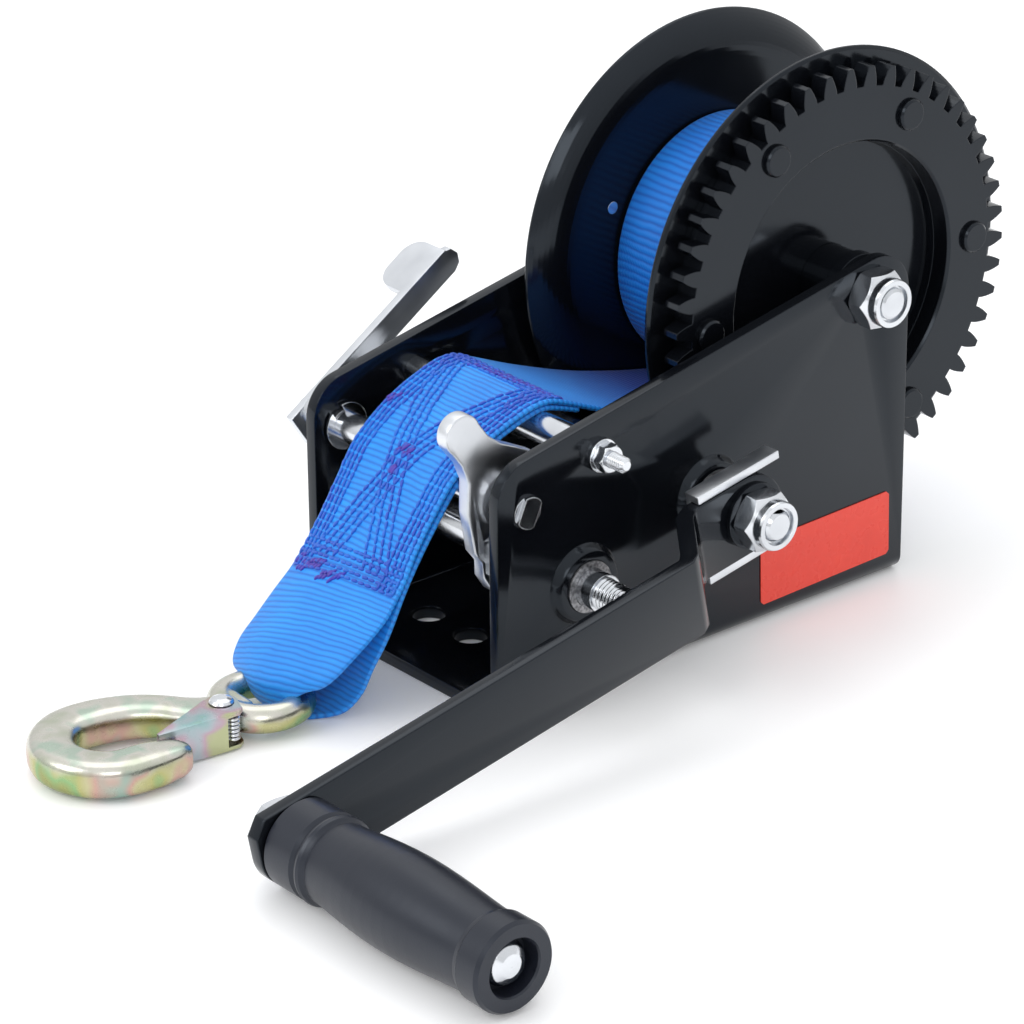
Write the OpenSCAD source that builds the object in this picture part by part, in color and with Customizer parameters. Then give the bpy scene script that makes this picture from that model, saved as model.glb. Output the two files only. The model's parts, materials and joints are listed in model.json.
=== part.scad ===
// Two-speed boat trailer winch with a webbing strap and a snap hook.
// Origin: centre of the base's bottom face. +X towards the drum, the crank on the -Y side, +Z up.

/* [Frame] */
// Length of the folded frame, front edge to rear edge
frame_l = 166; // [160:1:176]
// Width over the two side plates
frame_w = 91; // [91:0.5:92]
// Thickness of the folded sheet
sheet = 4; // [3.5:0.5:4]
// Height of the side plates at the front edge, before their corner is rounded
front_h = 79.6; // [78:0.2:84]
// Rise of the side plates' top edge for each mm of length
top_rise = 0.1957; // [0.18:0.005:0.21]
// Radius of the side plates' top corners
corner_r = 13; // [10:0.5:13]
// Radius of the mounting holes in the base
base_hole_r = 5.5; // [4:0.5:6]
// Distance between the front and the rear mounting holes
base_hole_dx = 113; // [100:1:120]
// Distance between the outer two mounting holes of a row
base_hole_dy = 41; // [38:1:44]

/* [Gears] */
// Module of all the teeth
gear_m = 2.8; // [2.8:0.1:2.8]
// Teeth on the drum gear
drum_n = 48; // [48:1:48]
// Teeth on the pinion that drives the drum gear
crank_n = 10; // [10:1:10]
// Teeth on the low-speed gear
low_n = 25; // [25:1:25]
// Teeth on the front pinion, which the pawl locks
front_n = 12; // [12:1:12]
// Distance from the drum's axis to the crank shaft
drum_cd = 81.6; // [81.5:0.1:81.8]
// Distance from the crank shaft to the front shaft
front_cd = 52.2; // [52.1:0.1:52.4]

/* [Drum] */
// Height of the drum's axis
drum_z = 98; // [97:0.5:99]
// Outer radius of the near flange
near_flange_r = 73.6; // [72:0.2:74]
// Outer radius of the far flange
far_flange_r = 72; // [70:0.5:74]
// Outer radius of the wound strap
coil_r = 42; // [36:1:44]

/* [Crank] */
// Distance from the crank shaft to the grip
crank_len = 191.5; // [170:0.5:200]
// Width of the crank's flat bar
arm_w = 25; // [22:1:26]
// Thickness of the crank's flat bar
arm_t = 4.5; // [4:0.5:5]
// Angle of the crank below the -X axis
crank_tilt = 10.75; // [9:0.25:12]
// Length of the grip
grip_l = 92; // [80:1:95]

/* [Strap and hook] */
// Width of the webbing
strap_w = 49; // [46:0.5:49]
// Thickness of one layer of webbing
web_t = 1.8; // [1.5:0.1:2]
// Yaw of the hook as it lies on the ground
hook_yaw = -5; // [-12:1:5]

/* [Hidden] */
$fn = 96;
hw = frame_w / 2;
inner = hw - sheet;
x_front = -frame_l / 2;
x_rear = frame_l / 2;
bend_r = 5;
boss_h = 3;
gap = 0.05;
label_w = 55;
label_h = 21.7;

drum = [66, drum_z];
shaft_2_dir = 216;
shaft_2 = drum + drum_cd * [cos(shaft_2_dir), sin(shaft_2_dir)];
shaft_1_dir = 195.7;
shaft_1 = shaft_2 + front_cd * [cos(shaft_1_dir), sin(shaft_1_dir)];
tie = [-43, 75.5];
pawl_pin = [-71.5, 65.3];

bush_r = 8.2;
journal_r = 6;
thread_r = 5;
drum_bolt_r = 5;
sleeve_r = 8;
tie_r = 2.5;
tie_tube_r = 5;
pawl_pin_r = 5;

near_in = -24;
far_in = 25.8;
flange_t = 2;
gear_y = -34.4;
gear_t = 6;
low_y = -41.2;
low_t = 4.3;
pinion_2_y = -36.9;
pinion_2_t = 9.5;
pawl_y = -35.4;
pawl_t = 5;
drum_y = 0.9;
drum_phase = 216.8;
rivet_ring_r = 56.1;
gear_rivet_r = 5;
rivet_spots = [for (i = [0 : 5]) drum + rivet_ring_r * [cos(i * 60 + 2), sin(i * 60 + 2)]];
carrier_r = 45.5;

arm_in_y = -64.9;
arm_out_y = -86;
swing = 13.3;
tie_head_r = 6;
anchor = drum + 46.2 * [cos(156), sin(156)];
anchor_r = 2;

bar_c = [-123, 1.5];
hook_z = 6.5;
ring_mean = 12;
ring_bar = 4.5;
rivet_at = [28, -3.8];

paint = [0.09, 0.1, 0.11];
zinc = [0.8, 0.81, 0.83];
steel = [0.55, 0.56, 0.58];
brass = [0.72, 0.68, 0.4];
webbing = [0.1, 0.4, 0.85];
plastic = [0.08, 0.08, 0.1];

// ---- helpers ----

// Points along an arc, from angle a0 to a1 in n steps
function arc(c, r, a0, a1, n) = [for (i = [0 : n]) let(a = a0 + (a1 - a0) * i / n) c + r * [cos(a), sin(a)]];

// A solid drawn in the XZ plane, from y0 towards +Y by h
module slab(y0, h) { translate([0, y0 + h, 0]) rotate([90, 0, 0]) linear_extrude(h) children(); }
// A rod along Y at [x, z], from y0 to y1
module rod(at, r, y0, y1) { slab(y0, y1 - y0) translate(at) circle(r); }
// A tube along Y
module tube(at, r, bore, y0, y1) { slab(y0, y1 - y0) translate(at) difference() { circle(r); circle(bore); } }
// Turns its children about the Y axis through [x, z], anticlockwise as seen from the crank side
module turned(at, angle) { translate([at[0], 0, at[1]]) rotate([0, -angle, 0]) children(); }
// A solid of revolution about Y: its outline is given as [radius, y]
module spun(at) { translate([at[0], 0, at[1]]) rotate([-90, 0, 0]) rotate_extrude() children(); }
// A hexagon with its flats af apart
module hex(af) { circle(r = af / sqrt(3), $fn = 6); }
// A hexagonal nut or head with chamfered corners; dir is the side that it faces
module hex_prism(at, af, y0, h, bore) {
    difference() {
        intersection() {
            slab(y0, h) translate(at) hex(af);
            spun(at) polygon([[0, y0], [af * 0.5, y0], [af * 0.58, y0 + 0.8], [af * 0.58, y0 + h - 0.8],
                [af * 0.5, y0 + h], [0, y0 + h]]);
        }
        if (bore > 0) rod(at, bore, y0 - 1, y0 + h + 1);
    }
}
// A lock nut: hexagon, then a collar with a rolled lip and a shallow pocket, towards -Y
module lock_nut(at, af, y_face, h, bore) {
    hex_h = h * 0.68;
    difference() {
        union() {
            intersection() {
                slab(y_face - hex_h, hex_h) translate(at) hex(af);
                spun(at) polygon([[0, y_face], [af * 0.5, y_face], [af * 0.58, y_face - 0.9],
                    [af * 0.58, y_face - hex_h + 1.6], [af * 0.47, y_face - hex_h], [0, y_face - hex_h]]);
            }
            spun(at) polygon([[0, y_face - hex_h + 1], [af * 0.46, y_face - hex_h + 1],
                [af * 0.46, y_face - h + 0.8], [af * 0.44, y_face - h], [0, y_face - h]]);
        }
        rod(at, bore, y_face - h - 1, y_face + 1);
        spun(at) polygon([[0, y_face - h + 1.5], [bore + 0.7, y_face - h + 1.5], [bore + 1, y_face - h - 1],
            [0, y_face - h - 1]]);
    }
}
// A threaded end along -Y: V grooves between y0 (inner) and y1 (outer), chamfered at the tip
function thread_outline(r, y0, y1, pitch) = let(
    turns = floor((y0 - y1 - 1) / pitch),
    deep = pitch * 0.45) concat(
    [[0, y0], [r, y0]],
    [for (i = [0 : turns - 1]) each [[r, y0 - pitch * i - 0.12 * pitch],
        [r - deep, y0 - pitch * (i + 0.5)], [r, y0 - pitch * (i + 0.88)]]],
    [[r, y1 + 1], [r - 1, y1], [0, y1]]);

// ---- gear outlines ----

function inv(a) = tan(a) * 180 / PI - a;
// Angle from the tooth's centre to its flank at radius r, in degrees
function flank(r, rb, half, pitch_inv) = let(a = acos(min(1, rb / r))) half + pitch_inv - inv(a);
// Outline of one tooth of n, shifted by x modules and thinned by play at the pitch circle
function tooth(n, x, play) = let(
    rp = gear_m * n / 2, rb = rp * cos(20), tip = rp + gear_m * (1 + x), root = rp - gear_m * (1.25 - x),
    half = (90 / n) + (2 * x * tan(20) * 180 / PI) / n - play / (2 * rp) * 180 / PI,
    low = max(rb, root), steps = 5,
    right = [for (i = [0 : steps]) let(r = low + (tip - low) * i / steps) [r, flank(r, rb, half, inv(20))]],
    base_half = right[0][1])
    concat([for (p = [[root, base_half]]) if (root < rb) p], right);
module gear_2d(n, x, play, phase) {
    side = tooth(n, x, play);
    count = len(side);
    function flank_point(k, i, hand) = let(a = phase + 360 / n * k + hand * side[i][1]) side[i][0] * [cos(a), sin(a)];
    polygon([for (k = [0 : n - 1]) each concat([for (i = [0 : count - 1]) flank_point(k, i, -1)],
        [for (i = [count - 1 : -1 : 0]) flank_point(k, i, 1)])]);
}
// Phase of the tooth gaps of a pinion that meshes with a gear's tooth at tooth_dir
function meshed(line_dir, tooth_dir, n_gear, n_pinion) =
    line_dir + 180 - (tooth_dir - line_dir) * n_gear / n_pinion;

pin_dir = atan2(pawl_pin[1] - shaft_1[1], pawl_pin[0] - shaft_1[0]);
front_gap = pin_dir - 45;
front_line = shaft_1_dir - 180;
front_offset = ((front_gap - front_line + 15) % 30 + 30) % 30 - 15;
low_tooth = shaft_1_dir - front_offset * front_n / low_n;
crank_gap = meshed(shaft_2_dir, drum_phase, drum_n, crank_n);

// ---- frame ----

module plate_2d() {
    tilt = atan(top_rise);
    front_c = [x_front + corner_r, front_h + top_rise * corner_r - corner_r / cos(tilt)];
    rear_c = [x_rear - corner_r, front_h + top_rise * (frame_l - corner_r) - corner_r / cos(tilt)];
    polygon(concat([[x_front, 0]], arc(front_c, corner_r, 180, 90 + tilt, 12),
        arc(rear_c, corner_r, 90 + tilt, 0, 14), [[x_rear, 0]]));
}
module channel_2d(w, r, h) {
    polygon(concat([[w, h], [-w, h]], arc([-w + r, r], r, 180, 270, 8), arc([w - r, r], r, 270, 360, 8)));
}
module boss(at, side) {
    spun(at) polygon([[0, side * (hw - 1)], [13.4, side * (hw - 1)], [11.6, side * (hw + boss_h - 0.6)],
        [11, side * (hw + boss_h)], [0, side * (hw + boss_h)]]);
}
module frame() {
    tall = 120;
    color(paint) difference() {
        union() {
            intersection() {
                translate([x_front, 0, 0]) rotate([90, 0, 90]) linear_extrude(frame_l) difference() {
                    channel_2d(hw, bend_r, tall);
                    translate([0, sheet]) channel_2d(inner, bend_r - sheet, tall);
                }
                slab(-hw - 1, frame_w + 2) plate_2d();
            }
            for (s = [-1, 1]) boss(shaft_1, s);
            for (s = [-1, 1]) boss(shaft_2, s);
        }
        rod(drum, drum_bolt_r + gap, -hw - 1, hw + 1);
        rod(tie, tie_r + 0.1, -hw - 1, hw + 1);
        spun(tie) polygon([[0, hw - 3], [tie_r, hw - 3], [tie_head_r, hw], [tie_head_r, hw + 1], [0, hw + 1]]);
        rod(pawl_pin, pawl_pin_r + gap, -hw - 1, hw + 1);
        rod(shaft_1, bush_r, -hw - boss_h - 1, hw + boss_h + 1);
        rod(shaft_2, bush_r, -hw - boss_h - 1, hw + boss_h + 1);
        for (x = [-0.5, 0.5] * base_hole_dx) for (y = [-0.5, 0, 0.5] * base_hole_dy)
            translate([x, y, -1]) cylinder(r = base_hole_r, h = sheet + 2);
    }
}
module label() {
    color([0.85, 0.16, 0.12]) slab(-hw - 0.3, 0.29) translate([49.5, 17.6]) rotate(1.5) difference() {
        square([label_w, label_h], center = true);
        for (x = [-0.5, 0.5]) for (y = [-0.5, 0.5]) translate([x * label_w, y * label_h])
            rotate(45) square(1.6, center = true);
    }
}
module shaft_bushes() {
    color(steel) for (at = [shaft_1, shaft_2]) for (s = [-1, 1])
        tube(at, bush_r, journal_r + gap, s < 0 ? -hw - boss_h - 0.6 : inner, s < 0 ? -inner : hw + boss_h + 0.6);
}
module drum_bolt() {
    color(zinc) union() {
        rod(drum, drum_bolt_r, -hw - 9, hw + 1);
        spun(drum) polygon([[0, -hw - 9], [drum_bolt_r, -hw - 9], [drum_bolt_r, -hw - 10.4],
            [drum_bolt_r - 1, -hw - 11], [0, -hw - 11]]);
        hex_prism(drum, 17, hw, 6.4, 0);
    }
}
module drum_nut() { color(zinc) lock_nut(drum, 17, -hw, 10.8, drum_bolt_r); }
module drum_sleeve() { color(steel) tube(drum, sleeve_r, drum_bolt_r + gap, -inner, inner); }
module drum_spacers() {
    color(paint) for (s = [-1, 1]) tube(drum, 12, sleeve_r + gap, s < 0 ? -inner : 37.4, s < 0 ? -37.4 : inner);
}
module tie_bolt() {
    color(zinc) union() {
        rod(tie, tie_r, -hw - 4, hw - 3);
        spun(tie) polygon(thread_outline(tie_r, -hw - 4, -hw - 11.4, 0.9));
        spun(tie) polygon([[0, hw - 3], [tie_r, hw - 3], [tie_head_r, hw], [0, hw]]);
    }
}
module tie_tube() { color(zinc) tube(tie, tie_tube_r, tie_r + 0.1, -inner, inner); }
module tie_nuts() {
    color(zinc) {
        tube(tie, 5.2, tie_r, -hw - 1, -hw);
        hex_prism(tie, 8, -hw - 5, 4, tie_r);
    }
}

// ---- drum ----

module drum_hub() { color(paint) tube(drum, 11, sleeve_r + 0.06, -37.2, 37.2); }
module drum_core() { color(steel) tube(drum, 20, 17, near_in, far_in); }
module near_flange() {
    color(paint) spun(drum) polygon([[11, near_in], [near_flange_r - 1, near_in], [near_flange_r, near_in - 0.6],
        [near_flange_r, near_in - 1.4], [near_flange_r - 1, near_in - flange_t], [11, near_in - flange_t]]);
}
// Flat disc whose rim curls away from the strap, with a hole for the strap's anchor bolt
module far_flange() {
    curl = 50;
    mid_r = 17;
    half = flange_t / 2;
    centre = [far_flange_r - half - mid_r * sin(curl), far_in + mid_r + half];
    rim = centre + mid_r * [sin(curl), -cos(curl)];
    color(paint) difference() {
        spun(drum) polygon(concat([[11, far_in]], arc(centre, mid_r + half, -90, curl - 90, 10),
            arc(rim, half, curl - 60, curl + 60, 4), arc(centre, mid_r - half, curl - 90, -90, 10),
            [[11, far_in + flange_t]]));
        rod(anchor, anchor_r + gap, far_in - 1, far_in + flange_t + 1);
    }
}
module drum_gear() {
    color(paint) difference() {
        slab(gear_y, gear_t) translate(drum) gear_2d(drum_n, -0.2, 0.3, drum_phase);
        spun(drum) polygon([[0, gear_y - 1], [carrier_r + 0.8, gear_y - 1], [carrier_r + 0.8, gear_y],
            [carrier_r, gear_y + 0.8], [carrier_r - 0.6, gear_y + gear_t + 1], [0, gear_y + gear_t + 1]]);
        for (at = rivet_spots) rod(at, gear_rivet_r, gear_y - 1, gear_y + gear_t + 1);
    }
}
module gear_carrier() {
    back = near_in - flange_t;
    outer_r = 63;
    color(paint) spun(drum) polygon([[carrier_r - 0.6, gear_y + gear_t], [outer_r, gear_y + gear_t], [outer_r, back],
        [carrier_r - 1.5, back]]);
}
module gear_rivets() {
    color(paint) for (at = rivet_spots) spun(at) polygon([[0, gear_y + gear_t], [gear_rivet_r, gear_y + gear_t],
        [gear_rivet_r, gear_y - 1.2], [gear_rivet_r - 0.6, gear_y - 1.8], [0, gear_y - 1.8]]);
}
module strap_coil() { color(webbing) tube(drum, coil_r, 20.1, drum_y - strap_w / 2, drum_y + strap_w / 2); }
module strap_anchor_bolt() {
    color(zinc) union() {
        rod(anchor, anchor_r, far_in, far_in + flange_t + 4.4);
        hex_prism(anchor, 7, far_in + flange_t, 3, 0);
    }
}

// ---- shafts ----

module drive_shaft(at) {
    tip_y = -77;
    color(zinc) difference() {
        union() {
            rod(at, journal_r, -55.5, hw + boss_h + 1.6);
            spun(at) polygon(thread_outline(thread_r, -55.5, tip_y, 1.5));
        }
        for (s = [-1, 1]) turned(at, 90 - crank_tilt) translate([s * 9.2 - 5, tip_y - 1, -8]) cube([10, 17.5, 16]);
        tube(at, journal_r + 1, journal_r - 0.8, inner - 2.1, inner - 0.9);
    }
}
module front_shaft() { drive_shaft(shaft_1); }
module crank_shaft() { drive_shaft(shaft_2); }
module front_pinion() {
    color(steel) slab(low_y, 11.4) translate(shaft_1) difference() {
        gear_2d(front_n, 0.15, 0.3, front_gap + 15);
        circle(journal_r);
    }
}
module crank_pinion() {
    color(steel) slab(pinion_2_y, pinion_2_t) translate(shaft_2) difference() {
        gear_2d(crank_n, 0.35, 0.3, crank_gap + 180 / crank_n);
        circle(journal_r);
    }
}
module low_speed_gear() {
    color(paint) slab(low_y, low_t) translate(shaft_2) difference() {
        gear_2d(low_n, 0, 0.3, low_tooth);
        circle(journal_r);
    }
}
// Snap ring in the shaft's groove, just inside the far plate
module snap_ring(at) {
    color(zinc) slab(inner - 2, 1) translate(at) difference() {
        circle(journal_r + 3);
        circle(journal_r - 0.8);
        translate([0, -2.5]) square([20, 5]);
    }
}
module front_shaft_clip() { snap_ring(shaft_1); }
module crank_shaft_clip() { snap_ring(shaft_2); }

// ---- crank ----

web_y = arm_in_y + arm_t;
module flats_2d() {
    intersection() {
        circle(thread_r + 0.02);
        square([2 * thread_r + 1, 8.44], center = true);
    }
}
module crank_spacer() {
    color(steel) union() {
        tube(shaft_2, 9.5, journal_r + 0.02, -55.5, -hw - boss_h - 0.8);
        tube(shaft_2, 9.5, thread_r + 0.02, web_y + 2, -55.5);
    }
}
// Channel that hugs the arm's edges
module crank_clip() {
    half = arm_w / 2;
    color(zinc) turned(shaft_2, crank_tilt) difference() {
        union() {
            translate([-19, web_y, -half - 2.8]) cube([26, 2, arm_w + 5.6]);
            for (z = [-half - 2.8, half + 0.2]) translate([-19, arm_in_y + 0.6, z]) cube([33, arm_t + 1.4, 2.6]);
        }
        rod([0, 0], thread_r + 0.02, web_y - 1, web_y + 3);
    }
}
// Outline of the arm seen along its width: [distance from the shaft, y]
arm_tip = -crank_len - 14;
arm_path = [[13, arm_in_y], [-20, arm_in_y], [-24, arm_in_y - 2.4], [-37, arm_out_y + 2.4], [-41, arm_out_y],
    [arm_tip, arm_out_y]];
module arm_side() {
    d = arm_t * 0.42;
    polygon(concat(arm_path, [[arm_tip, arm_out_y + arm_t], [-41 - d, arm_out_y + arm_t],
        [-37 - d * 1.9, arm_out_y + arm_t + 2], [-24 - d * 1.9, arm_in_y + arm_t - 2.6],
        [-20 - d, web_y], [13, web_y]]));
}
module crank_arm() {
    color(paint) turned(shaft_2, crank_tilt) difference() {
        intersection() {
            translate([0, 0, -arm_w / 2]) linear_extrude(arm_w) arm_side();
            slab(arm_out_y - 1, 30) union() {
                circle(arm_w / 2);
                translate([-crank_len - 1, 0]) circle(arm_w / 2);
                translate([-crank_len - 1, -arm_w / 2]) square([crank_len + 1, arm_w]);
                translate([-crank_len, 0])
                    polygon([[0, arm_w / 2], [-9.6, arm_w / 2], [-13.5, arm_w / 2 - 4.8], [-13.5, 0]]);
            }
        }
        slab(arm_in_y - 1, arm_t + 2) flats_2d();
        rod([-crank_len, 0], 4.05, arm_out_y - 1, arm_out_y + arm_t + 1);
    }
}
module crank_washer() { color(paint) tube(shaft_2, 10.5, thread_r + 0.02, arm_in_y - 1.6, arm_in_y); }
module crank_nut() { color(zinc) lock_nut(shaft_2, 17, arm_in_y - 1.6, 10.4, thread_r); }
grip_at = shaft_2 - crank_len * [cos(crank_tilt), sin(crank_tilt)];
module grip_bolt() {
    head_y = arm_out_y - grip_l + 6.4;
    color(zinc) union() {
        rod(grip_at, 4, head_y, arm_out_y + arm_t + 8);
        spun(grip_at) polygon([[0, head_y], [6.6, head_y], [6.6, head_y - 2.2], [5.6, head_y - 3.8],
            [3.4, head_y - 4.9], [0, head_y - 5.2]]);
    }
}
module grip_nut() { color(zinc) hex_prism(grip_at, 17, arm_out_y + arm_t, 7, 4); }
// Moulded grip: collar, groove, swelling body and an end rim round the bolt's pocket
module grip() {
    y0 = arm_out_y - 0.4;
    y1 = arm_out_y - grip_l;
    body_y = y0 - 17;
    neck_y = y1 + 11;
    function body_r(t) = 12.1 + 0.2 * t + 2.1 * pow(sin(180 * pow(t, 0.9)), 1.3);
    color(plastic) spun(grip_at) polygon(concat(
        [[4.06, y0], [12.6, y0], [13.3, y0 - 0.8], [13.3, y0 - 11.6], [12.7, y0 - 12.4], [12.4, y0 - 12.8],
            [12.5, y0 - 13.4], [13.3, y0 - 14], [13.5, y0 - 14.8], [13.2, y0 - 15.8], [12.4, y0 - 16.6]],
        [for (i = [0 : 14]) [body_r(i / 14), body_y + (neck_y - body_y) * i / 14]],
        [[12.7, neck_y - 1.6], [13.3, neck_y - 2.4], [13.4, y1 + 1.2], [12.6, y1], [8.8, y1], [8.4, y1 + 0.6],
            [8.4, y1 + 6.45], [4.06, y1 + 6.45]]));
}

// ---- pawl ----

// Direction from the pawl's pin to the front shaft
wheel_dir = pin_dir + 180;
wheel_d = norm(pawl_pin - shaft_1);
// A claw drawn where it locks the pinion, then swung back to its free place; side is 1 or -1
module claw_2d(side) {
    rotate(side * swing) {
        root = [wheel_d - 14.6 * cos(45), side * 14.6 * sin(45)];
        out = [-cos(45), side * sin(45)];
        across = [sin(45), side * cos(45)];
        polygon([root - 0.9 * across, root + 0.9 * across, root + 5.2 * out + 1.9 * across,
            [17.5, side * 16.4], [6, side * 12], [11, side * 5], root + 6.4 * out - 4.6 * across,
            root + 5.2 * out - 1.9 * across]);
    }
}
module pawl() {
    color(zinc) slab(pawl_y, pawl_t) translate(pawl_pin) rotate(wheel_dir) difference() {
        union() {
            circle(11);
            claw_2d(1);
            claw_2d(-1);
            polygon([[-8, -11.5], [4, -17.4], [11, -17.2], [13.5, 0], [11, 17.2], [4, 17.4], [-4, 16.6], [-11, 13],
                [-16.5, 10], [-22, 8.4], [-30, 8.4], [-33.4, 4], [-33.4, -1], [-30, -4], [-22, -3.9], [-16, -5.4]]);
            translate([-29.5, 2.2]) circle(6.4);
        }
        circle(pawl_pin_r);
    }
}
module pawl_shaft() {
    color(zinc) difference() {
        union() {
            rod(pawl_pin, pawl_pin_r, -hw - 1.2, lever_y);
            rod(pawl_pin, spigot_r, lever_y - 1, lever_y + lever_t + 1.2);
        }
        for (s = [-1, 1]) turned(pawl_pin, 66) translate([-6, -hw - 2, s * 6.2 - 3]) cube([12, 2, 6]);
        for (y = [-inner + 0.4, inner - 1.6]) tube(pawl_pin, pawl_pin_r + 1, pawl_pin_r - 0.8, y, y + 1);
    }
}
module pawl_shaft_clips() {
    color(zinc) for (y = [-inner + 0.4, inner - 1.6]) slab(y, 1) translate(pawl_pin) difference() {
        circle(pawl_pin_r + 2.6);
        circle(pawl_pin_r - 0.8);
        rotate(120) translate([0, -2]) square([20, 4]);
    }
}
// Bent thumb lever on the far end of the pawl's shaft
lever_dir = 33.2;
lever_y = hw + 10.5;
lever_t = 3;
spigot_r = 3.5;
module pawl_lever() {
    half = 4.5;
    color(zinc) turned(pawl_pin, lever_dir) difference() {
        union() {
            slab(lever_y, lever_t) polygon([[-8, half], [64.5, half], [67.4, 3.2], [68.6, 0], [67.4, -3.2],
                [64.5, -half], [20, -half], [12, -7], [7.5, -11], [-5, -11], [-8, -8]]);
            translate([0, lever_y, half - lever_t]) linear_extrude(lever_t) union() {
                translate([46.5, 0]) square([19, 9]);
                for (x = [53, 59]) translate([x, 9]) circle(6.5);
                translate([53, 9]) square([6, 6.5]);
            }
        }
        rod([0, 0], spigot_r, lever_y - 1, lever_y + lever_t + 1);
    }
}
// Sweeps a round section of radius r along the points of path, with n sides
function unit(v) = v / norm(v);
function ring_points(path, i, r, n) = let(
    last = len(path) - 1, dir = unit(path[min(i + 1, last)] - path[max(i - 1, 0)]),
    side = unit(cross(dir, abs(dir[1]) > 0.9 ? [1, 0, 0] : [0, 1, 0])), up = cross(side, dir))
    [for (k = [0 : n - 1]) path[i] + r * (cos(360 * k / n) * side + sin(360 * k / n) * up)];
module swept(path, r, n) {
    last = len(path) - 1;
    polyhedron([for (i = [0 : last]) each ring_points(path, i, r, n)],
        concat([[for (k = [n - 1 : -1 : 0]) k]], [[for (k = [0 : n - 1]) last * n + k]],
            [for (i = [0 : last - 1]) for (k = [0 : n - 1])
                [i * n + k, i * n + (k + 1) % n, (i + 1) * n + (k + 1) % n, (i + 1) * n + k]]));
}
module pawl_spring() {
    coil = 7.2;
    wire = 0.8;
    steps = 16;
    turns = 2;
    color(zinc) swept([for (i = [0 : steps * turns]) let(a = 360 * i / steps + 40)
        [pawl_pin[0] + coil * cos(a), -38.95 + 2.3 * i / (steps * turns), pawl_pin[1] + coil * sin(a)]], wire, 8);
}

// ---- strap ----

// Route of the strap's middle line: [x, y, z, width, thickness]
loop_t = web_t * 2.2;
strap_route = [
    [57.4, 0.9, 54.6, strap_w, web_t], [40, 0.9, 58.6, strap_w, web_t], [20, 0.9, 63.3, strap_w, web_t],
    [10, 1.4, 65.6, strap_w, web_t], [0, 2.8, 68, strap_w, web_t], [-20, 4.8, 73.2, strap_w, loop_t],
    [-34, 5.4, 78.6, strap_w, loop_t], [-40, 5.6, 82.2, strap_w, loop_t], [-44, 5.7, 83, strap_w, loop_t],
    [-48, 5.7, 82, strap_w, loop_t], [-60, 5.6, 77.6, strap_w, loop_t], [-70, 5.5, 73.8, strap_w, loop_t],
    [-78, 5.2, 70.6, strap_w, loop_t], [-86, 5, 63.6, strap_w, loop_t], [-94, 4.6, 53.6, strap_w - 2, loop_t],
    [-101, 4, 43, strap_w - 4, loop_t], [-106.6, 3.2, 33, strap_w - 9, loop_t * 1.1],
    [-111.4, 2.4, 24.4, strap_w - 17, loop_t * 1.2], [-115.8, 1.8, 17.9, 21, 4.4], [-118.6, 1.5, 14.9, 12, 4],
    [-120.6, 1.5, 12.9, 7.6, 3.4]];
module flat_band(route) {
    last = len(route) - 1;
    function at(i) = [route[i][0], route[i][2]];
    function dir(i) = unit(at(min(i + 1, last)) - at(max(i - 1, 0)));
    function corner(i, a, b) = [at(i)[0] - dir(i)[1] * b * route[i][4] / 2, route[i][1] + a * route[i][3] / 2,
        at(i)[1] + dir(i)[0] * b * route[i][4] / 2];
    polyhedron([for (i = [0 : last]) each [corner(i, -1, -1), corner(i, 1, -1), corner(i, 1, 1), corner(i, -1, 1)]],
        concat([[0, 1, 2, 3]], [[last * 4 + 3, last * 4 + 2, last * 4 + 1, last * 4]],
            [for (i = [0 : last - 1]) for (k = [0 : 3])
                [(i + 1) * 4 + k, (i + 1) * 4 + (k + 1) % 4, i * 4 + (k + 1) % 4, i * 4 + k]]));
}
module free_strap() {
    color(webbing) union() {
        flat_band(strap_route);
        translate([bar_c[0], bar_c[1], hook_z]) rotate([90, 0, hook_yaw]) translate([0, 0, -4])
            linear_extrude(8) difference() {
                translate([-0.2, 2.2]) circle(8.6);
                translate([-0.2, 0]) circle(5.5);
            }
    }
}

// ---- hook ----
// Hook outline is laid out as [distance from the ring's rear bar, offset to the +Y side]
module placed_hook() {
    translate([bar_c[0], bar_c[1], hook_z]) rotate([0, 0, hook_yaw]) mirror([1, 0, 0]) children();
}
bowl = [64, 0];
bowl_r = 17;
hook_line = concat([[19.8, 0], [24, 0], [28.5, 0.6], [33, 2.8], [38, 6.4], [43.5, 10.4], [50, 14], [56, 16]],
    arc(bowl, bowl_r, 102, -102, 13), [[56, -17], [51.6, -17.3], [47.6, -17.4]]);
// Half-width of the hook's body at step i of hook_line
function hook_half(i) = let(last = len(hook_line) - 1)
    i < 4 ? 7.6 : i < 8 ? 6.6 + 0.2 * (i - 4) : i > last - 3 ? 6.2 - 1.1 * (i - last + 3) : 7.2;
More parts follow.
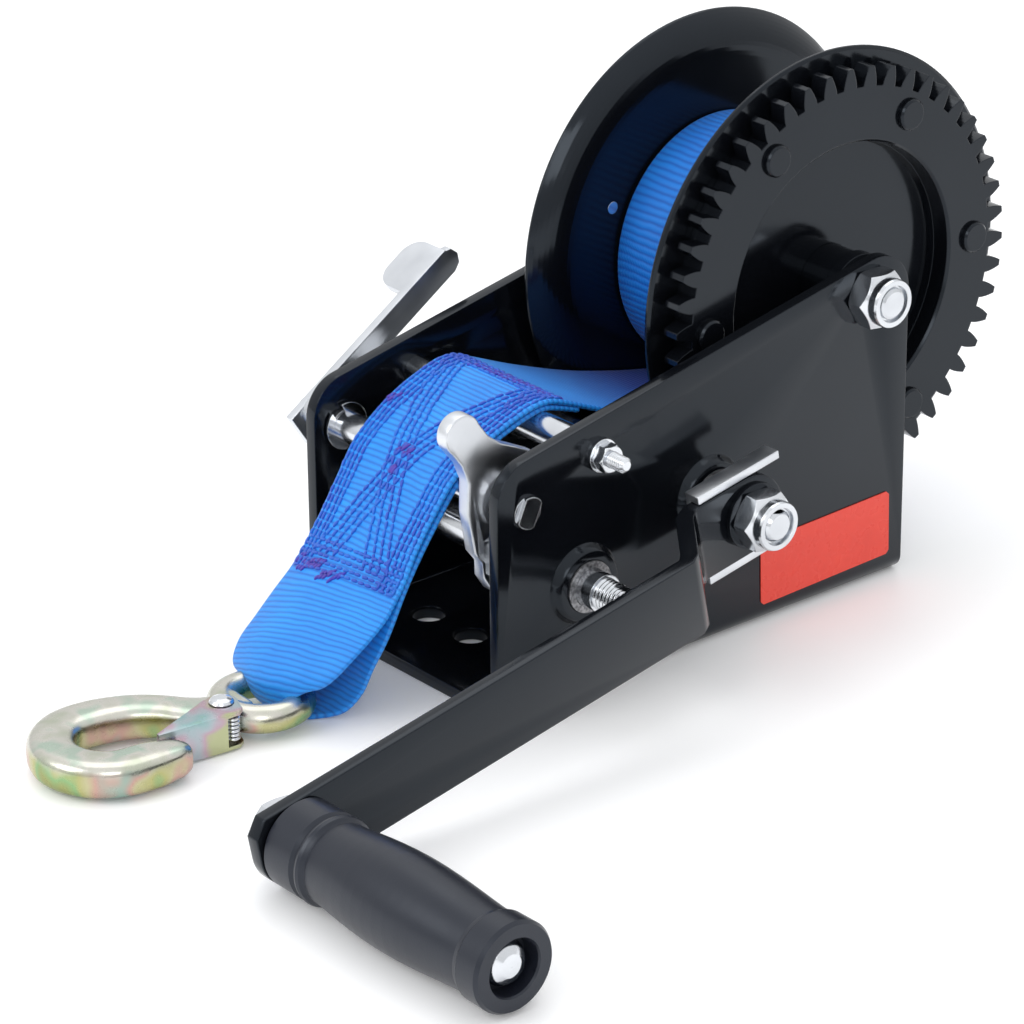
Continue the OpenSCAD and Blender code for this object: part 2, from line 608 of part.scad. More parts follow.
// Half of its height at step i
function hook_tall(i) = let(last = len(hook_line) - 1)
    i < 5 ? 3.9 : i < 7 ? 5.2 : i > last - 1 ? 3.6 : i > last - 2 ? 4.8 : 5.8;
function soft(v) = sign(v) * pow(abs(v), 0.62);
function hook_ring(i, n) = let(last = len(hook_line) - 1,
    dir = unit(hook_line[min(i + 1, last)] - hook_line[max(i - 1, 0)]), side = [-dir[1], dir[0]])
    [for (k = [0 : n - 1]) let(a = 360 * k / n, p = hook_line[i] + side * soft(cos(a)) * hook_half(i))
        [p[0], p[1], soft(sin(a)) * hook_tall(i)]];
module hook() {
    n = 16;
    last = len(hook_line) - 1;
    color(brass) placed_hook() difference() {
        union() {
            polyhedron([for (i = [0 : last]) each hook_ring(i, n)],
                concat([[for (k = [0 : n - 1]) k]], [[for (k = [n - 1 : -1 : 0]) last * n + k]],
                    [for (i = [0 : last - 1]) for (k = [0 : n - 1])
                        [(i + 1) * n + k, (i + 1) * n + (k + 1) % n, i * n + (k + 1) % n, i * n + k]]));
            translate([ring_mean, 0, 0]) rotate_extrude() translate([ring_mean, 0]) circle(ring_bar, $fn = 48);
        }
        translate([rivet_at[0], rivet_at[1], -10]) cylinder(r = 2.5, h = 20);
    }
}
module latch_rivet() {
    color(zinc) placed_hook() translate([rivet_at[0], rivet_at[1], 0]) rotate_extrude()
        polygon([[0, -6], [2.5, -6], [2.5, 6], [3.8, 6], [3.2, 6.9], [1.8, 7.4], [0, 7.5]]);
}
latch_in = 4.7;
latch_t = 1.1;
module latch() {
    tip = [54, -10.5];
    color(brass) placed_hook() difference() {
        union() {
            for (z = [latch_in, -latch_in - latch_t]) translate([0, 0, z]) linear_extrude(latch_t) union() {
                translate(rivet_at) circle(5);
                polygon([rivet_at + [-2, 4.6], rivet_at + [4, 4], rivet_at + [12, 0], tip, tip - [0, 1.2],
                    [31.2, -12.6], [27, -12.4], [25, -10.8], [24, -7], rivet_at + [-5, -1]]);
            }
            translate([0, 0, -latch_in - latch_t]) linear_extrude(2 * (latch_in + latch_t))
                polygon([tip, tip - [0, 1.2], [31.2, -12.6], [31.2, -11.4]]);
        }
        translate([rivet_at[0], rivet_at[1], -10]) cylinder(r = 2.55, h = 20);
    }
}
module latch_spring() {
    color(zinc) placed_hook() for (z = [-3.2 : 1.28 : 3.3]) translate([28, -9.9, z]) rotate_extrude()
        translate([1.7, 0]) circle(0.5, $fn = 24);
}

frame();
label();
shaft_bushes();
drum_bolt();
drum_nut();
drum_sleeve();
drum_spacers();
tie_bolt();
tie_tube();
tie_nuts();
free_strap();
pawl_spring();
drum_hub();
drum_core();
near_flange();
far_flange();
drum_gear();
gear_carrier();
gear_rivets();
strap_coil();
strap_anchor_bolt();
front_shaft();
front_pinion();
front_shaft_clip();
crank_shaft();
crank_pinion();
low_speed_gear();
crank_shaft_clip();
crank_spacer();
crank_clip();
crank_arm();
crank_washer();
crank_nut();
grip_bolt();
grip_nut();
grip();
pawl();
pawl_shaft();
pawl_shaft_clips();
pawl_lever();
hook();
latch_rivet();
latch();
latch_spring();
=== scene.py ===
# The looks of the boat trailer winch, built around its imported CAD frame.
import json
import math
import random

import bmesh
import bpy
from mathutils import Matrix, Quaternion, Vector


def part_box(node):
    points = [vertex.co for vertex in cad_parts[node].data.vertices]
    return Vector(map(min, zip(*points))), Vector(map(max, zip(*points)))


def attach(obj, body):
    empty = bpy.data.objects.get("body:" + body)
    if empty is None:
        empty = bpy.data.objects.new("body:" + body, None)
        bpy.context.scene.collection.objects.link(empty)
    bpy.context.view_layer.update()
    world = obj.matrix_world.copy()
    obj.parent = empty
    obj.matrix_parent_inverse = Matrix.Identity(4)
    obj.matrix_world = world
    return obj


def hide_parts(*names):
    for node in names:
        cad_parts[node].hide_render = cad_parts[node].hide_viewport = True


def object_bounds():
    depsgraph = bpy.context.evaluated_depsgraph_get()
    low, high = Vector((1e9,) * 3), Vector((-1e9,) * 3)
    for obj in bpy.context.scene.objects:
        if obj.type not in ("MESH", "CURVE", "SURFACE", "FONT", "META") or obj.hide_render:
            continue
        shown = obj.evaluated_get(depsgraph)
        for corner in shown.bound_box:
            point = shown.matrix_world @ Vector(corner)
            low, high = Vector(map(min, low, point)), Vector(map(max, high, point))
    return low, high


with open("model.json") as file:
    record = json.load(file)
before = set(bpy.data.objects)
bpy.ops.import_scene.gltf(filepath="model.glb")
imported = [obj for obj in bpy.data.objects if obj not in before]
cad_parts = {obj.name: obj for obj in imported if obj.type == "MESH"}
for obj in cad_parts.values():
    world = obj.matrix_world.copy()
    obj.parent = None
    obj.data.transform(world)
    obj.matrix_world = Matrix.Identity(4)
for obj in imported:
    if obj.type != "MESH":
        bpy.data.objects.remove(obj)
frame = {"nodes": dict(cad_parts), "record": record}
cad_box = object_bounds()

MM = 0.001


def mm(*values):
    """A point given in millimetres."""
    return Vector(values) * MM


# ---------------------------------------------------------------- camera, floor and light

CAMERA_AT = mm(-832.7, -952.4, 597.7)
CAMERA_AIM = mm(-44.8, -6.2, 44.2)
CAMERA_ROLL = math.radians(0.51)
CAMERA_LENS = 156.3
SENSOR_WIDTH = 36
WORLD_LOW = (0.8, 0.81, 0.82)
WORLD_HIGH = (1.12, 1.13, 1.15)
WORLD_STRENGTH = 0.97
FLOOR_REACH = 6
FLOOR_DROP = 0.2 * MM
# Softbox: name, place and size in metres, power in watts
SOFTBOXES = [
    ("key", (-1.7, 0.4, 1.3), 1.1, 12),
    ("top", (0.5, 0.5, 2.0), 1.6, 7),
    ("side", (-1.2, -1.5, 1.1), 0.8, 5),
]
SOFTBOX_AIM = Vector((0, 0, 0.05))


def add_camera():
    data = bpy.data.cameras.new("camera")
    data.lens = CAMERA_LENS
    data.sensor_width = SENSOR_WIDTH
    data.clip_start = 0.05
    camera = bpy.data.objects.new("camera", data)
    bpy.context.scene.collection.objects.link(camera)
    forward = (CAMERA_AIM - CAMERA_AT).normalized()
    camera.location = CAMERA_AT
    camera.rotation_mode = "QUATERNION"
    camera.rotation_quaternion = Quaternion(forward, CAMERA_ROLL) @ forward.to_track_quat("-Z", "Y")
    bpy.context.scene.camera = camera


def add_softbox(name, at, size, power):
    data = bpy.data.lights.new(name, "AREA")
    data.shape = "RECTANGLE"
    data.size, data.size_y = size, size
    data.energy = power
    light = bpy.data.objects.new(name, data)
    bpy.context.scene.collection.objects.link(light)
    light.location = at
    light.rotation_mode = "QUATERNION"
    light.rotation_quaternion = (SOFTBOX_AIM - Vector(at)).to_track_quat("-Z", "Y")


def add_studio():
    world = bpy.data.worlds.new("studio")
    world.use_nodes = True
    tree = world.node_tree
    background = tree.nodes["Background"]
    toward = node(tree, "TexCoord").outputs["Generated"]
    height = node(tree, "SeparateXYZ", {"Vector": toward}).outputs["Z"]
    tree.links.new(ramp(tree, height, (0.0, WORLD_LOW), (0.85, WORLD_HIGH)), background.inputs["Color"])
    background.inputs["Strength"].default_value = WORLD_STRENGTH
    bpy.context.scene.world = world
    for softbox in SOFTBOXES:
        add_softbox(*softbox)
    mesh = bpy.data.meshes.new("floor")
    corners = [(x * FLOOR_REACH, y * FLOOR_REACH, 0) for x, y in ((-1, -1), (1, -1), (1, 1), (-1, 1))]
    mesh.from_pydata(corners, [], [(0, 1, 2, 3)])
    floor = bpy.data.objects.new("floor", mesh)
    bpy.context.scene.collection.objects.link(floor)
    floor.location.z = cad_box[0].z - FLOOR_DROP
    mesh.materials.append(floor_material())
    bpy.context.scene.view_settings.view_transform = "Standard"


# ---------------------------------------------------------------- material helpers

def new_material(name, color, roughness, metallic=0.0):
    made = bpy.data.materials.new(name)
    made.use_nodes = True
    shader = made.node_tree.nodes["Principled BSDF"]
    shader.inputs["Base Color"].default_value = (*color, 1)
    shader.inputs["Roughness"].default_value = roughness
    shader.inputs["Metallic"].default_value = metallic
    return made, made.node_tree, shader


def node(tree, kind, inputs=None, **settings):
    """A shader node; an input is either another node's socket or a value."""
    made = tree.nodes.new("ShaderNode" + kind)
    for key, value in settings.items():
        setattr(made, key, value)
    for key, value in (inputs or {}).items():
        if isinstance(value, bpy.types.NodeSocket):
            tree.links.new(value, made.inputs[key])
        else:
            made.inputs[key].default_value = value
    return made


def place(tree, squeeze=(1, 1, 1)):
    """The point on the object, in metres, scaled by squeeze."""
    coords = node(tree, "TexCoord")
    return node(tree, "Mapping", {"Vector": coords.outputs["Object"], "Scale": squeeze}).outputs["Vector"]


def noise(tree, vector, scale, detail=3.0, roughness=0.5):
    inputs = {"Vector": vector, "Scale": scale, "Detail": detail, "Roughness": roughness}
    return node(tree, "TexNoise", inputs).outputs["Fac"]


def ramp(tree, fac, *stops):
    """A colour ramp; each stop is (position, colour or grey)."""
    made = node(tree, "ValToRGB", {"Fac": fac})
    band = made.color_ramp
    while len(band.elements) < len(stops):
        band.elements.new(0.5)
    for element, (position, color) in zip(band.elements, stops):
        element.position = position
        element.color = (*color, 1) if isinstance(color, tuple) else (color, color, color, 1)
    return made.outputs["Color"]


def bump(tree, height, distance, strength=1.0, normal=None):
    inputs = {"Height": height, "Distance": distance, "Strength": strength}
    if normal is not None:
        inputs["Normal"] = normal
    return node(tree, "Bump", inputs).outputs["Normal"]


def soft_edges(tree, radius):
    """Rounds the look of sharp edges by this radius."""
    return node(tree, "Bevel", {"Radius": radius}, samples=4).outputs["Normal"]


def link(tree, socket, shader, name):
    tree.links.new(socket, shader.inputs[name])


def math_node(tree, operation, *values):
    return node(tree, "Math", dict(enumerate(values)), operation=operation).outputs[0]


def multiply(tree, first, second):
    """One colour multiplied by another."""
    inputs = {"Factor": 1.0, "A": first, "B": second}
    return node(tree, "Mix", inputs, data_type="RGBA", blend_type="MULTIPLY").outputs["Result"]


# ---------------------------------------------------------------- materials

def floor_material():
    made, tree, shader = new_material("studio_floor", (0.97, 0.97, 0.97), 0.5)
    shader.inputs["Emission Color"].default_value = (1, 1, 1, 1)
    shader.inputs["Emission Strength"].default_value = 0.07
    where = place(tree)
    link(tree, ramp(tree, noise(tree, where, 3.0), (0.3, 0.4), (0.7, 0.5)), shader, "Roughness")
    return made


def black_paint():
    """Gloss black powder coat: smooth, faintly blue."""
    made, tree, shader = new_material("gloss_black_paint", (0.003, 0.0036, 0.005), 0.13)
    shader.inputs["Specular IOR Level"].default_value = 0.37
    shader.inputs["Specular Tint"].default_value = (0.76, 0.87, 1, 1)
    where = place(tree)
    shade = ramp(tree, noise(tree, where, 30, 4), (0.3, (0.0026, 0.0031, 0.0045)),
                 (0.75, (0.0045, 0.0053, 0.0072)))
    link(tree, shade, shader, "Base Color")
    link(tree, ramp(tree, noise(tree, where, 45, 3), (0.3, 0.1), (0.8, 0.19)), shader, "Roughness")
    edges = soft_edges(tree, 0.5 * MM)
    link(tree, bump(tree, noise(tree, where, 300, 2), 0.02 * MM, 0.4, edges), shader, "Normal")
    return made


def zinc_plate(name, low, high):
    """Bright zinc plate with a faint cloud in its gloss; its roughness lies between low and high."""
    made, tree, shader = new_material(name, (0.72, 0.74, 0.77), low, 1.0)
    where = place(tree)
    shade = ramp(tree, noise(tree, where, 60, 3), (0.3, (0.62, 0.64, 0.67)), (0.7, (0.78, 0.8, 0.83)))
    link(tree, shade, shader, "Base Color")
    link(tree, ramp(tree, noise(tree, where, 120, 3), (0.3, low), (0.75, high)), shader, "Roughness")
    edges = soft_edges(tree, 0.4 * MM)
    link(tree, bump(tree, noise(tree, where, 700, 2), 0.01 * MM, 0.5, edges), shader, "Normal")
    return made


def film_colors(tree, where, scale):
    """The drifting tints of a thin passivation film, from olive through green and blue to rose."""
    return ramp(tree, noise(tree, where, scale, 2, 0.4), (0.3, (0.32, 0.34, 0.14)), (0.4, (0.26, 0.42, 0.2)),
                (0.47, (0.44, 0.43, 0.19)), (0.53, (0.5, 0.47, 0.28)), (0.6, (0.52, 0.33, 0.28)),
                (0.68, (0.3, 0.42, 0.36)))


def yellow_zinc():
    """Yellow passivated zinc with a painted sheen: nearly silver where it faces up, film colours on its
    sides, for how the film looks under light from above.
    """
    made, tree, shader = new_material("yellow_zinc_plate", (0.5, 0.49, 0.3), 0.25, 1.0)
    where = place(tree)
    # Painted sheen: upward faces are coloured silver, the sides take the film colours
    facing = node(tree, "SeparateXYZ", {"Vector": node(tree, "TexCoord").outputs["Normal"]}).outputs["Z"]
    shaken = math_node(tree, "MULTIPLY_ADD", noise(tree, where, 70, 3), 0.9, facing)
    painted_sheen_mask = ramp(tree, shaken, (0.55, 0.0), (1.0, 1.0))
    silver = ramp(tree, noise(tree, where, 90, 2), (0.35, (0.5, 0.52, 0.42)), (0.52, (0.62, 0.6, 0.54)),
                  (0.65, (0.46, 0.55, 0.46)))
    film = film_colors(tree, where, 60)
    tint = node(tree, "Mix", {"Factor": painted_sheen_mask, "A": film, "B": silver}, data_type="RGBA")
    link(tree, tint.outputs["Result"], shader, "Base Color")
    link(tree, ramp(tree, noise(tree, where, 200, 3), (0.3, 0.2), (0.75, 0.34)), shader, "Roughness")
    link(tree, bump(tree, noise(tree, where, 260, 3), 0.06 * MM, 0.5), shader, "Normal")
    return made


def latch_zinc():
    """Yellow zinc on thin sheet: silver blue, with rose and green streaks on its folded side."""
    made, tree, shader = new_material("latch_zinc_plate", (0.5, 0.56, 0.56), 0.25, 1.0)
    where = place(tree)
    tint = ramp(tree, noise(tree, where, 75, 2, 0.4), (0.34, (0.3, 0.48, 0.28)), (0.44, (0.3, 0.46, 0.46)),
                (0.52, (0.42, 0.47, 0.5)), (0.59, (0.5, 0.36, 0.42)), (0.66, (0.46, 0.48, 0.28)))
    link(tree, tint, shader, "Base Color")
    link(tree, ramp(tree, noise(tree, where, 200, 3), (0.3, 0.2), (0.75, 0.32)), shader, "Roughness")
    return made


def sintered_steel():
    """Dull grey sintered metal with fine pores."""
    made, tree, shader = new_material("sintered_bush", (0.3, 0.3, 0.31), 0.5, 1.0)
    where = place(tree)
    shade = ramp(tree, noise(tree, where, 900, 2), (0.35, (0.16, 0.16, 0.17)), (0.65, (0.42, 0.42, 0.43)))
    link(tree, shade, shader, "Base Color")
    edges = soft_edges(tree, 0.3 * MM)
    link(tree, bump(tree, noise(tree, where, 1500, 2), 0.08 * MM, 0.6, edges), shader, "Normal")
    return made


def black_plastic():
    """Satin black moulded plastic with a fine grain."""
    made, tree, shader = new_material("satin_black_plastic", (0.009, 0.0105, 0.017), 0.34)
    where = place(tree)
    shader.inputs["Specular Tint"].default_value = (0.85, 0.91, 1, 1)
    link(tree, ramp(tree, noise(tree, where, 60, 3), (0.3, 0.3), (0.75, 0.42)), shader, "Roughness")
    link(tree, bump(tree, noise(tree, where, 1400, 2), 0.04 * MM, 0.6), shader, "Normal")
    return made


def red_label():
    """A red printed film, left blank."""
    made, tree, shader = new_material("blank_red_label", (0.75, 0.055, 0.03), 0.3)
    where = place(tree)
    shade = ramp(tree, noise(tree, where, 80, 3), (0.3, (0.74, 0.05, 0.03)), (0.7, (0.78, 0.056, 0.032)))
    link(tree, shade, shader, "Base Color")
    link(tree, ramp(tree, noise(tree, where, 200, 3), (0.3, 0.22), (0.7, 0.36)), shader, "Roughness")
    return made


RIB_PITCH = 1.9 * MM
THREAD_PITCH = 0.75 * MM


def blue_webbing(name, painted_shade_stops):
    """Woven polyester: cross ribs every RIB_PITCH along the strap, fine warp threads across it.

    Its last argument holds the stops, each a length in metres and a colour, of the painted shade that darkens
    it along the strap.
    """
    made, tree, shader = new_material(name, (0.008, 0.25, 0.8), 0.5)
    shader.inputs["Sheen Weight"].default_value = 0.08
    shader.inputs["Sheen Roughness"].default_value = 0.4
    uv = node(tree, "UVMap", uv_map="UVMap").outputs["UV"]
    axes = node(tree, "SeparateXYZ", {"Vector": uv})
    wander = noise(tree, uv, 90, 2)
    along = math_node(tree, "MULTIPLY", axes.outputs["Y"], 2 * math.pi / RIB_PITCH)
    rib = math_node(tree, "SINE", math_node(tree, "MULTIPLY_ADD", wander, 5.0, along))
    rib01 = math_node(tree, "MULTIPLY_ADD", rib, 0.5, 0.5)
    warp = math_node(tree, "MULTIPLY", axes.outputs["X"], 2 * math.pi / THREAD_PITCH)
    thread = math_node(tree, "SINE", math_node(tree, "MULTIPLY_ADD", rib, 1.2, warp))
    height = math_node(tree, "MULTIPLY_ADD", thread, 0.22, rib01)
    fuzz = noise(tree, uv, 2600, 2)
    # Painted shade: the rib colour is darker in the grooves between the ribs
    shade = ramp(tree, rib01, (0.0, (0.004, 0.16, 0.6)), (0.35, (0.007, 0.25, 0.78)),
                 (1.0, (0.01, 0.3, 0.86)))
    patch = ramp(tree, noise(tree, uv, 60, 3), (0.3, (0.78, 0.82, 0.9)), (0.7, (1, 1, 1)))
    # Painted shade: the colour darkens along the strap by the given stops
    painted_shade = ramp(tree, axes.outputs["Y"], *painted_shade_stops)
    link(tree, multiply(tree, multiply(tree, shade, patch), painted_shade), shader, "Base Color")
    link(tree, ramp(tree, fuzz, (0.3, 0.42), (0.7, 0.6)), shader, "Roughness")
    fine = bump(tree, fuzz, 0.08 * MM, 0.5)
    link(tree, bump(tree, height, 0.2 * MM, 0.7, fine), shader, "Normal")
    return made


def stitch_thread(light, dark):
    """Polyester sewing thread that drifts between two blues."""
    made, tree, shader = new_material("stitching_thread", light, 0.45)
    shader.inputs["Sheen Weight"].default_value = 0.1
    where = place(tree)
    link(tree, ramp(tree, noise(tree, where, 90, 2), (0.4, light), (0.6, dark)), shader, "Base Color")
    link(tree, bump(tree, noise(tree, where, 3000, 2), 0.1 * MM, 0.6), shader, "Normal")
    return made


# Painted shade: the strap's colour is darkened near the drum, which shades it, and evenly darkened where it
# is wound on the drum
STRAP_PAINTED_SHADE = ((0.07, (0.14, 0.16, 0.36)), (0.115, 1.0))
WOUND_PAINTED_SHADE = ((0.0, (0.6, 0.68, 0.8)), (1.0, (0.6, 0.68, 0.8)))
SLOT_MATERIALS = {
    "black_paint": black_paint(),
    "bright_zinc": zinc_plate("bright_zinc_plate", 0.12, 0.24),
    "yellow_zinc": yellow_zinc(),
    "sintered_steel": sintered_steel(),
    "black_plastic": black_plastic(),
    "red_label": red_label(),
    "blue_webbing": blue_webbing("blue_webbing", STRAP_PAINTED_SHADE),
}


def dress_cad_nodes():
    for part in frame["record"]["subparts"]:
        mesh = frame["nodes"][part["node"]].data
        mesh.materials.clear()
        mesh.materials.append(SLOT_MATERIALS[part["material_slot"]])


# ---------------------------------------------------------------- mesh helpers

def new_piece(name, verts, faces, material, body, smooth=True, uvs=None):
    mesh = bpy.data.meshes.new(name)
    mesh.from_pydata(verts, [], faces)
    if uvs is not None:
        layer = mesh.uv_layers.new(name="UVMap")
        for loop in mesh.loops:
            layer.data[loop.index].uv = uvs[loop.vertex_index]
    mesh.polygons.foreach_set("use_smooth", [smooth] * len(mesh.polygons))
    mesh.materials.append(material)
    mesh.validate()
    made = bpy.data.objects.new(name, mesh)
    bpy.context.scene.collection.objects.link(made)
    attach(made, body)
    return made


def catmull_rom(a, b, c, d, t):
    """The value at t, from 0 at b to 1 at c, of the curve through a, b, c and d."""
    square = 2 * a - 5 * b + 4 * c - d
    cube = 3 * b - a - 3 * c + d
    return 0.5 * (2 * b + (c - a) * t + square * t * t + cube * t ** 3)


def spline(points, steps):
    """Catmull-Rom through tuples of any length, steps samples per stretch."""
    made = []
    last = len(points) - 1
    for i in range(last):
        near = (points[max(i - 1, 0)], points[i], points[i + 1], points[min(i + 2, last)])
        for k in range(steps):
            made.append(tuple(catmull_rom(*values, k / steps) for values in zip(*near)))
    made.append(tuple(points[last]))
    return made


# ---------------------------------------------------------------- webbing

DRUM_AXIS = sum(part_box("strap_coil"), Vector()) / 2
COIL_R = (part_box("strap_coil")[1].x - DRUM_AXIS.x) / MM
# Webbing in mm: thickness, half width, and the radius and angle at which the strap leaves the drum
WEB_T = 1.7
WEB_HALF = 24.5
LAY = 43.2
LEAVES_AT = -99
# The strap's cross-section: how far its flat face reaches, then the rounded edge as
# shares of the half width and of the thickness
FLAT_SHARE = 0.96
EDGE = [(0.985, 0.38), (1.0, 0.0), (0.985, -0.38)]
STRAP_STEPS = 12
STRAP_COLUMNS = 16


def on_drum(angle, radius, y):
    a = math.radians(angle)
    return (DRUM_AXIS.x / MM + radius * math.cos(a), y, DRUM_AXIS.z / MM + radius * math.sin(a))


# Middle of the strap: x, y, z, half width, droop of the edges, then yaw and roll of the width in degrees
STRAP = [
    (*on_drum(-62, 42.0, 0.9), WEB_HALF, 0, 0, 0),
    (*on_drum(-76, 42.8, 0.9), WEB_HALF, 0, 0, 0),
    (*on_drum(-91, LAY, 0.9), WEB_HALF, 0, 0, 0),
    (*on_drum(LEAVES_AT, LAY, 0.9), WEB_HALF, 0, 0, 0),
    (36, 0.9, 59.2, WEB_HALF, 0.1, 0, 0),
    (18, 0.9, 63.4, WEB_HALF, 0.2, 0, 0),
    (2, 2.2, 67.6, WEB_HALF, 0.2, 0, 0),
    (-17, 4.2, 74.2, WEB_HALF, 0.2, 0, 0),
    (-35, 5.5, 81.4, WEB_HALF, 0, 0, 0),
    (-42, 5.7, 83.0, WEB_HALF, 0, 0, 0),
    (-49, 5.7, 81.8, WEB_HALF, 0, 0.5, -0.5),
    (-60, 5.6, 77.9, WEB_HALF, 0, 1, -1),
    (-70, 5.3, 73.0, WEB_HALF, 0.3, 1, -2),
    (-78.2, 5.0, 66.9, WEB_HALF, 0.5, 1, -3),
    (-85.3, 4.9, 58.0, WEB_HALF, 0.8, 2, -4),
    (-92.9, 4.5, 48.4, WEB_HALF, 1.2, 2, -5),
    (-98.9, 3.9, 41.4, WEB_HALF, 2, 0, -5),
    (-104.2, 3.5, 36.8, WEB_HALF, 3, -2, -6),
    (-110.4, 3.0, 32.6, WEB_HALF, 4, -6, -7),
    (-117.3, 2.7, 27.9, WEB_HALF, 4.5, -8, -9),
    (-124.6, 2.4, 22.6, 24.1, 4.5, -8, -10),
    (-130.5, 2.3, 17.2, 21.6, 5, -7, -10),
    (-133.6, 2.2, 12.6, 16.2, 5, -6, -8),
    (-133.6, 2.0, 8.4, 10, 2, -5, -2),
    (-131.6, 1.7, 4.2, 6.8, 0.6, -5, 0),
    (-127.6, 1.5, 1.6, 6.6, 0, -5, 0),
    (-122.6, 1.5, 1.0, 10, 0, -5, 0),
    (-117.2, 1.7, 3.0, 15.5, 0, -3, 0),
    (-112.6, 2.1, 9.2, 19.5, 0, 0, 1),
    (-109.2, 2.5, 17.4, 22, -0.6, 3, 1),
    (-104.2, 3.2, 27, WEB_HALF, -1, 4, 0),
    (-97.2, 3.9, 38, WEB_HALF, -1, 3, -3),
    (-90.8, 4.4, 47.2, WEB_HALF, -0.9, 2, -4),
    (-83.3, 4.8, 56.6, WEB_HALF, -0.8, 2, -4),
    (-76.8, 5.1, 64.8, WEB_HALF, -0.5, 1, -3),
    (-69.2, 5.4, 71.1, WEB_HALF, -0.3, 1, -2),
    (-59.3, 5.6, 76.1, WEB_HALF, 0, 1, -1),
    (-48.4, 5.7, 80.0, WEB_HALF, 0, 0.5, -0.5),
    (-42, 5.7, 81.2, WEB_HALF, 0, 0, 0),
    (-35.5, 5.5, 79.6, WEB_HALF, 0, 0, 0),
    (-29, 5.1, 77.4, WEB_HALF, 0, 0, 0),
]


def stations(route, steps):
    """Samples along a strap: centre, across, outward, half width, droop and the length so far, in mm."""
    raw = spline(route, steps)
    made = []
    so_far = 0.0
    for i, (x, y, z, half, droop, yaw, roll) in enumerate(raw):
        here = Vector((x, y, z))
        ahead = Vector(raw[min(i + 1, len(raw) - 1)][:3]) - Vector(raw[max(i - 1, 0)][:3])
        ahead.normalize()
        yaw, roll = math.radians(yaw), math.radians(roll)
        across = Vector((math.sin(yaw), math.cos(yaw), math.sin(roll))).normalized()
        if i:
            so_far += (here - made[-1][0]).length
        made.append((here, across, across.cross(ahead).normalized(), half, droop, so_far))
    return made


def strap_point(station, u, lift):
    """The point at u, from -1 to 1 across the strap, lift mm outward of its middle."""
    centre, across, outward, half, droop, _ = station
    slope = math.atan2(2 * droop * u, half)
    sideways = across * (u * half + lift * math.sin(slope))
    return centre + sideways + outward * (lift * math.cos(slope) - droop * u * u)


def webbing_mesh(samples, columns):
    """Vertices, faces and UVs of a closed strap with rounded edges."""
    face = [(FLAT_SHARE * (2 * i / columns - 1), 0.5) for i in range(columns + 1)]
    ring = face + EDGE + [(u, -h) for u, h in reversed(face)] + [(-u, -h) for u, h in EDGE]
    verts, uvs, faces = [], [], []
    for station in samples:
        for u, h in ring:
            verts.append(strap_point(station, u, h * WEB_T) * MM)
            uvs.append((u * WEB_HALF * MM, station[5] * MM))
    n = len(ring)
    for row in range(len(samples) - 1):
        for k in range(n):
            a, b = row * n + k, row * n + (k + 1) % n
            faces.append((a, b, b + n, a + n))
    faces.append(tuple(range(n))[::-1])
    end = (len(samples) - 1) * n
    faces.append(tuple(range(end, end + n)))
    return verts, faces, uvs


strap_samples = stations(STRAP, STRAP_STEPS)


def add_strap():
    verts, faces, uvs = webbing_mesh(strap_samples, STRAP_COLUMNS)
    strap = new_piece("webbing_strap", verts, faces, SLOT_MATERIALS["blue_webbing"], "frame", uvs=uvs)
    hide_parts("free_strap")
    return strap


COIL_TURNS = 11.5
COIL_INNER_R = 21.6
COIL_END = -60
COIL_STEPS = 96
COIL_SWAYS = 8
COIL_COLUMNS = 4


def add_coil():
    """The strap wound on the drum, as one spiral that sways a little sideways."""
    chance = random.Random(4)
    sway = [chance.uniform(-0.25, 0.25) for _ in range(int(COIL_TURNS * COIL_SWAYS) + 3)]
    mean_turn = math.pi * (COIL_INNER_R + COIL_R)
    samples = []
    for i in range(int(COIL_TURNS * COIL_STEPS) + 1):
        turn = i / COIL_STEPS
        radius = COIL_INNER_R + (COIL_R - WEB_T / 2 - COIL_INNER_R) * turn / COIL_TURNS
        angle = COIL_END - 360 * (COIL_TURNS - turn)
        j = int(turn * COIL_SWAYS)
        shift = sway[j] + (sway[j + 1] - sway[j]) * (turn * COIL_SWAYS - j)
        a = math.radians(angle)
        outward = Vector((math.cos(a), 0, math.sin(a)))
        centre = Vector(on_drum(angle, radius, DRUM_AXIS.y / MM + shift))
        samples.append((centre, Vector((0, 1, 0)), outward, WEB_HALF - 0.3, 0, turn * mean_turn))
    verts, faces, uvs = webbing_mesh(samples, COIL_COLUMNS)
    # Painted shade: the wound strap gets its own copy of the webbing, evenly darkened
    wound = blue_webbing("shaded_wound_webbing", WOUND_PAINTED_SHADE)
    coil = new_piece("wound_webbing", verts, faces, wound, "drum", uvs=uvs)
    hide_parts("strap_coil")
    return coil


def strap_at(s, u, lift):
    """A point on the strap's outer face at length s."""
    for low, high in zip(strap_samples, strap_samples[1:]):
        if high[5] >= s:
            t = (s - low[5]) / max(high[5] - low[5], 1e-9)
            return strap_point(low, u, lift).lerp(strap_point(high, u, lift), t)
    return strap_point(strap_samples[-1], u, lift)


def length_at(x):
    """Length along the strap at which its upper layer passes x."""
    return next(s[5] for s in strap_samples if s[0].x < x)


STITCH = 2.5
STITCH_GAP = 0.3
THREAD_R = 0.55
THREAD_SIDES = 6
# One stitch: the share of its length, its rise above the webbing and its thickness, both in thread radii
STITCH_SHAPE = ((0, -0.5, 0.5), (0.18, 0.22, 0.9), (0.5, 0.34, 1.0), (0.82, 0.22, 0.9), (1, -0.5, 0.5))


